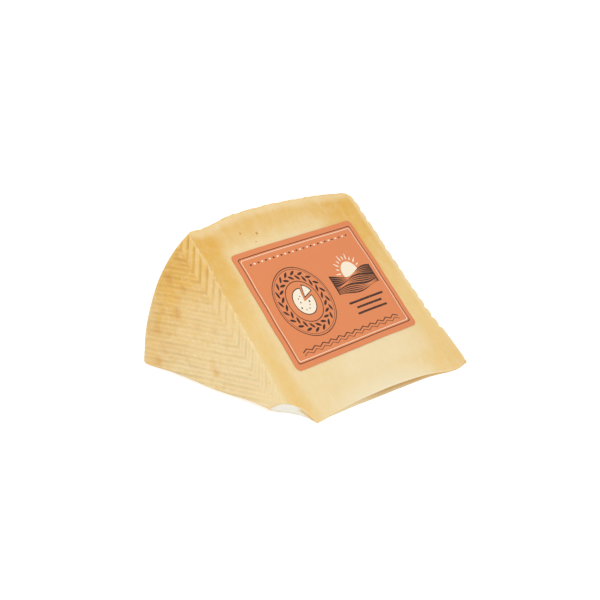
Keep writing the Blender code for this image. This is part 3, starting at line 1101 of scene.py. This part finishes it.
def frameMarks():
    given = printing["frame"]
    for inset, width, ink in zip(given["insets"], given["widths"], (brownInk, creamInk)):
        for shrink, colour in ((0, ink), (width, paperInk)):
            size = [label[name] / mm - 2 * (inset + shrink) for name in ("width", "height")]
            yield roundedRectangle(*size, given["corner"]), colour


def emblemMarks(material):
    at = printing["rings"]["at"]
    for i, radius in enumerate(printing["rings"]["radii"]):
        yield sector(at, radius), (brownInk, paperInk)[i % 2]
    for leaf in printedMarks(True, at, {**printing["leaves"], "Material": material}):
        yield leaf, brownInk
    wheel = printing["wheel"]
    radius, line = wheel["radius"], wheel["lineTurn"]
    start, end = wheel["cut"]
    middle = math.radians((start + end) / 2)
    yield sector(at, radius, end, start + 360, pointed=True), brownInk
    yield sector(at, radius - wheel["line"], end + line, start + 360 - line, pointed=True), creamInk
    tip = polar(wheel["slipped"], middle, at)
    yield sector(tip, radius, start, end, 16, pointed=True), brownInk
    inner = polar(wheel["wedgeIn"], middle, tip)
    yield sector(inner, radius - wheel["wedgeSmaller"], start, end, 16, pointed=True), creamInk
    rough = random.Random(wheel["seed"])
    for turn in wheel["eyes"]:
        spot = polar(rough.uniform(*wheel["eyesOut"]), math.radians(turn), at)
        yield sector(spot, rough.uniform(*wheel["eyeRadius"]), steps=10), brownInk


def hillTop(x, layer):
    top, swell = (first + more * layer for first, more in (printing["hills"][k] for k in ("tops", "swell")))
    wave, shift, start = printing["hills"]["wave"]
    return top + swell * math.sin(wave * x + shift * layer + start)


def landMarks():
    sun, hills = printing["sun"], printing["hills"]
    yield sector(sun["at"], sun["radius"], *sun["arc"], 40), creamInk
    first, last = sun["rayTurns"]
    for i in range(sun["rays"]):
        turn = math.radians(first + (last - first) * i / (sun["rays"] - 1))
        ends = [polar(r, turn, sun["at"]) for r in (sun["from"], sun["to"][i % 2])]
        yield stroke(ends, sun["widths"]), creamInk
    (left, right), steps = hills["ends"], hills["steps"]
    xs = [left + (right - left) * i / steps for i in range(steps + 1)]
    for layer in range(hills["layers"]):
        top = [(x, hillTop(x, layer)) for x in xs]
        bottom = [(x, hillTop(x, layer + 1) - hills["gap"]) for x in xs]
        yield top + bottom[::-1], brownInk
        # furrows: paper lines that follow the hill and thin out at both ends
        for k in range(hills["furrows"]):
            share = (k + 1) / (hills["furrows"] + 1)
            line = [(x, a * (1 - share) + b * share) for x, (_, a), (_, b) in zip(xs, top, bottom)]
            thin = [math.sin(math.pi * (i + 3) / (steps + 6)) for i in range(steps + 1)]
            widths = [hills["width"] * t + hills["wider"] * layer for t in thin]
            yield stroke(line[1:-1], widths[1:-1]), paperInk
    middle = (left + right) / 2
    for y, length in printing["bars"]["lines"]:
        ends = [(middle - length / 2, y), (middle + length / 2, y)]
        yield stroke(ends, [printing["bars"]["height"]] * 2), brownInk


def rowMarks(material):
    reach = label["width"] / mm - 2 * printing["rowMargin"]
    dots = {**printing["dots"], "Reach": reach, "Material": material}
    for i, dot in enumerate(printedMarks(False, (0, printing["dotRow"]), dots)):
        yield dot, (brownInk, creamInk)[i % 2]
    given = printing["zigzag"]
    row, swing, turns = given["row"], given["swing"], given["turns"]
    for offset, width in given["lines"]:
        path = [(-reach / 2 + reach * i / turns, row + offset + swing * (1 if i % 2 else -1) / 2)
                for i in range(turns + 1)]
        yield stroke(path, [width] * len(path)), brownInk


def onLabel(points):
    # from the label's own flat coordinates to its place on the cut, following the cut's unevenness
    x, y, height = points.T
    x = x * (1 - label["keystone"] * y / label["height"])
    turn = label["turn"]
    across = label["across"] + x * math.cos(turn) - y * math.sin(turn)
    up = label["upSlope"] + x * math.sin(turn) + y * math.cos(turn)
    flat = np.stack([across, up * cosAngle, up * sinAngle], 1)
    lifted = flat + (label["lift"] + height)[:, None] * np.array((0, -sinAngle, cosAngle))
    return lifted + unevenness(flat) + noseAt


def makeLabel(material):
    # one closed sheet; the print's outlines are worked into its top, and "ink" says each face's colour
    step = label["grid"] / mm
    width, height = label["width"] / mm, label["height"] / mm
    points = subdivide(roundedRectangle(width, height, label["cornerRadius"] / mm), step)
    around = len(points)
    rings = [list(range(around))]
    inks = [paperInk]
    for shape, ink in (*frameMarks(), *emblemMarks(material), *landMarks(), *rowMarks(material)):
        area = sum(a[0] * b[1] - b[0] * a[1] for a, b in zip(shape, shape[1:] + shape[:1]))
        shape = subdivide(shape if area > 0 else shape[::-1], step)
        rings.append(list(range(len(points), len(points) + len(shape))))
        points += shape
        inks.append(ink)
    for x in np.arange(-width / 2 + step / 2, width / 2, step):
        for y in np.arange(-height / 2 + step / 2, height / 2, step):
            if width / 2 - abs(x) > label["clear"] and height / 2 - abs(y) > label["clear"]:
                points.append((x, y))
    made = delaunay_2d_cdt([Vector(p) for p in points], [], rings, 1, 1e-6)
    ring = [next(i for i, first in enumerate(made[3]) if k in first) for k in range(around)]
    count = len(made[0])
    sheet = [(x * mm, y * mm, level) for level in (label["thickness"], 0) for x, y in made[0]]
    faces = [tuple(face) for face in made[2]]
    faces += [tuple(i + count for i in reversed(face)) for face in made[2]]
    faces += [(a, b, b + count, a + count) for a, b in zip(ring, ring[1:] + ring[:1])]
    colours = [inks[max(origin)] for origin in made[5]]
    colours += [paperInk] * (len(faces) - len(colours))
    paper = addObject("labelPaper", onLabel(np.array(sheet)).tolist(), faces)
    setValues(paper.data, "ink", colours, domain="FACE")
    flipIfInside(paper.data)
    paper.data.materials.append(material)
    return paper


def paperMaterial():
    material, shader, place = startMaterial("salmonPaper")
    ink = pointValue(place.tree, "ink")
    fibre = cloud(place, 1.2 * mm, 3, detail=5, roughness=0.7)
    cloudy = remap(cloud(place, 18 * mm, 5, detail=2), 0.35, 0.65, 0, 0.10)
    worn = remap(cloud(place, 0.7 * mm, 6, detail=2), 0.55, 0.75, 0, 0.35)
    flecked = remap(fibre, 0.35, 0.7, 0, 0.16, smooth=False)
    paper = blend(cloudy, blend(flecked, label["paperColour"], label["fleckColour"]), label["shadeColour"])
    brown = blend(worn, label["inkColour"], label["paperColour"])
    colour = blend(calc("GREATER_THAN", ink, (paperInk + brownInk) / 2), paper, brown)
    colour = blend(calc("GREATER_THAN", ink, (brownInk + creamInk) / 2), colour, label["creamColour"])
    gloss = remap(ink, 0.0, 1.0, 0.50, 0.42, smooth=False)
    fill(shader, {
        "Base Color": colour, "Specular IOR Level": 0.25, "Normal": bump(fibre, 0.02 * mm),
        "Roughness": gloss + remap(fibre, 0.3, 0.7, -0.03, 0.03, smooth=False)})
    return material


print("making the cheese")
cheese = makeCheese(cheeseMaterial())
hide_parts("cheese_wedge")
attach(cheese, "root")

print("making the label")
paper = makeLabel(paperMaterial())
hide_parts("label")
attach(paper, "root")
print("label faces", len(paper.data.polygons))


studio = {
    "floor": (0.35, 0.35, 0.35, 1),
    "floorGlow": 0.72,  # a lit table: its shadows stay faint
    "floorHalf": 4,
    "world": 1.0,
    "key": {"azimuth": -60, "elevation": 42, "distance": 1.2, "size": 0.7, "power": 6.0},
    "fill": {"azimuth": 128, "elevation": 15, "distance": 1.2, "size": 0.9, "power": 3.6},  # for the back
    "camera": {"azimuth": -50.136, "elevation": 18.868, "roll": 3.677, "distance": 640.821 * mm,
               "target": (-3.756 * mm, 0, 29.32 * mm), "lens": 90},
}


def makeFloor():
    half = studio["floorHalf"]
    corners = [(-half, -half, 0), (half, -half, 0), (half, half, 0), (-half, half, 0)]
    floor = addObject("floor", corners, [(0, 1, 2, 3)])
    material, shader, _ = startMaterial("litTable")
    fill(shader, {"Base Color": studio["floor"], "Roughness": 0.9, "Emission Color": (1, 1, 1, 1),
                  "Emission Strength": studio["floorGlow"]})
    floor.data.materials.append(material)
    return floor


def awayFrom(view):
    a, e = math.radians(view["azimuth"]), math.radians(view["elevation"])
    return Vector((math.sin(a) * math.cos(e), -math.cos(a) * math.cos(e), math.sin(e)))


def makeLight(name, given):
    data = bpy.data.lights.new(name, "AREA")
    data.shape = "DISK"
    data.size = given["size"]
    data.energy = given["power"]
    lamp = addThing(name, data)
    away = awayFrom(given)
    lamp.location = away * given["distance"]
    lamp.rotation_euler = away.to_track_quat("Z", "Y").to_euler()


def makeCamera():
    view = studio["camera"]
    data = bpy.data.cameras.new("camera")
    data.lens = view["lens"]
    data.sensor_width = 36
    data.clip_start = 0.01
    camera = addThing("camera", data)
    away = awayFrom(view)
    turn = away.to_track_quat("Z", "Y").to_matrix().to_4x4()
    roll = Matrix.Rotation(math.radians(view["roll"]), 4, "Z")
    camera.matrix_world = Matrix.Translation(Vector(view["target"]) + away * view["distance"]) @ turn @ roll
    bpy.context.scene.camera = camera


def makeWorld():
    world = bpy.data.worlds.new("softWhite")
    bpy.context.scene.world = world
    world.use_nodes = True
    fill(world.node_tree.nodes["Background"], {"Color": (1, 1, 1, 1), "Strength": studio["world"]})


print("setting up the studio")
makeFloor()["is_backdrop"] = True
makeWorld()
makeLight("keyLight", studio["key"])
makeLight("fillLight", studio["fill"])
makeCamera()
bpy.context.scene.view_settings.view_transform = "Standard"

boxes = [[list(corner) for corner in box] for box in (cadBox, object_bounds())]
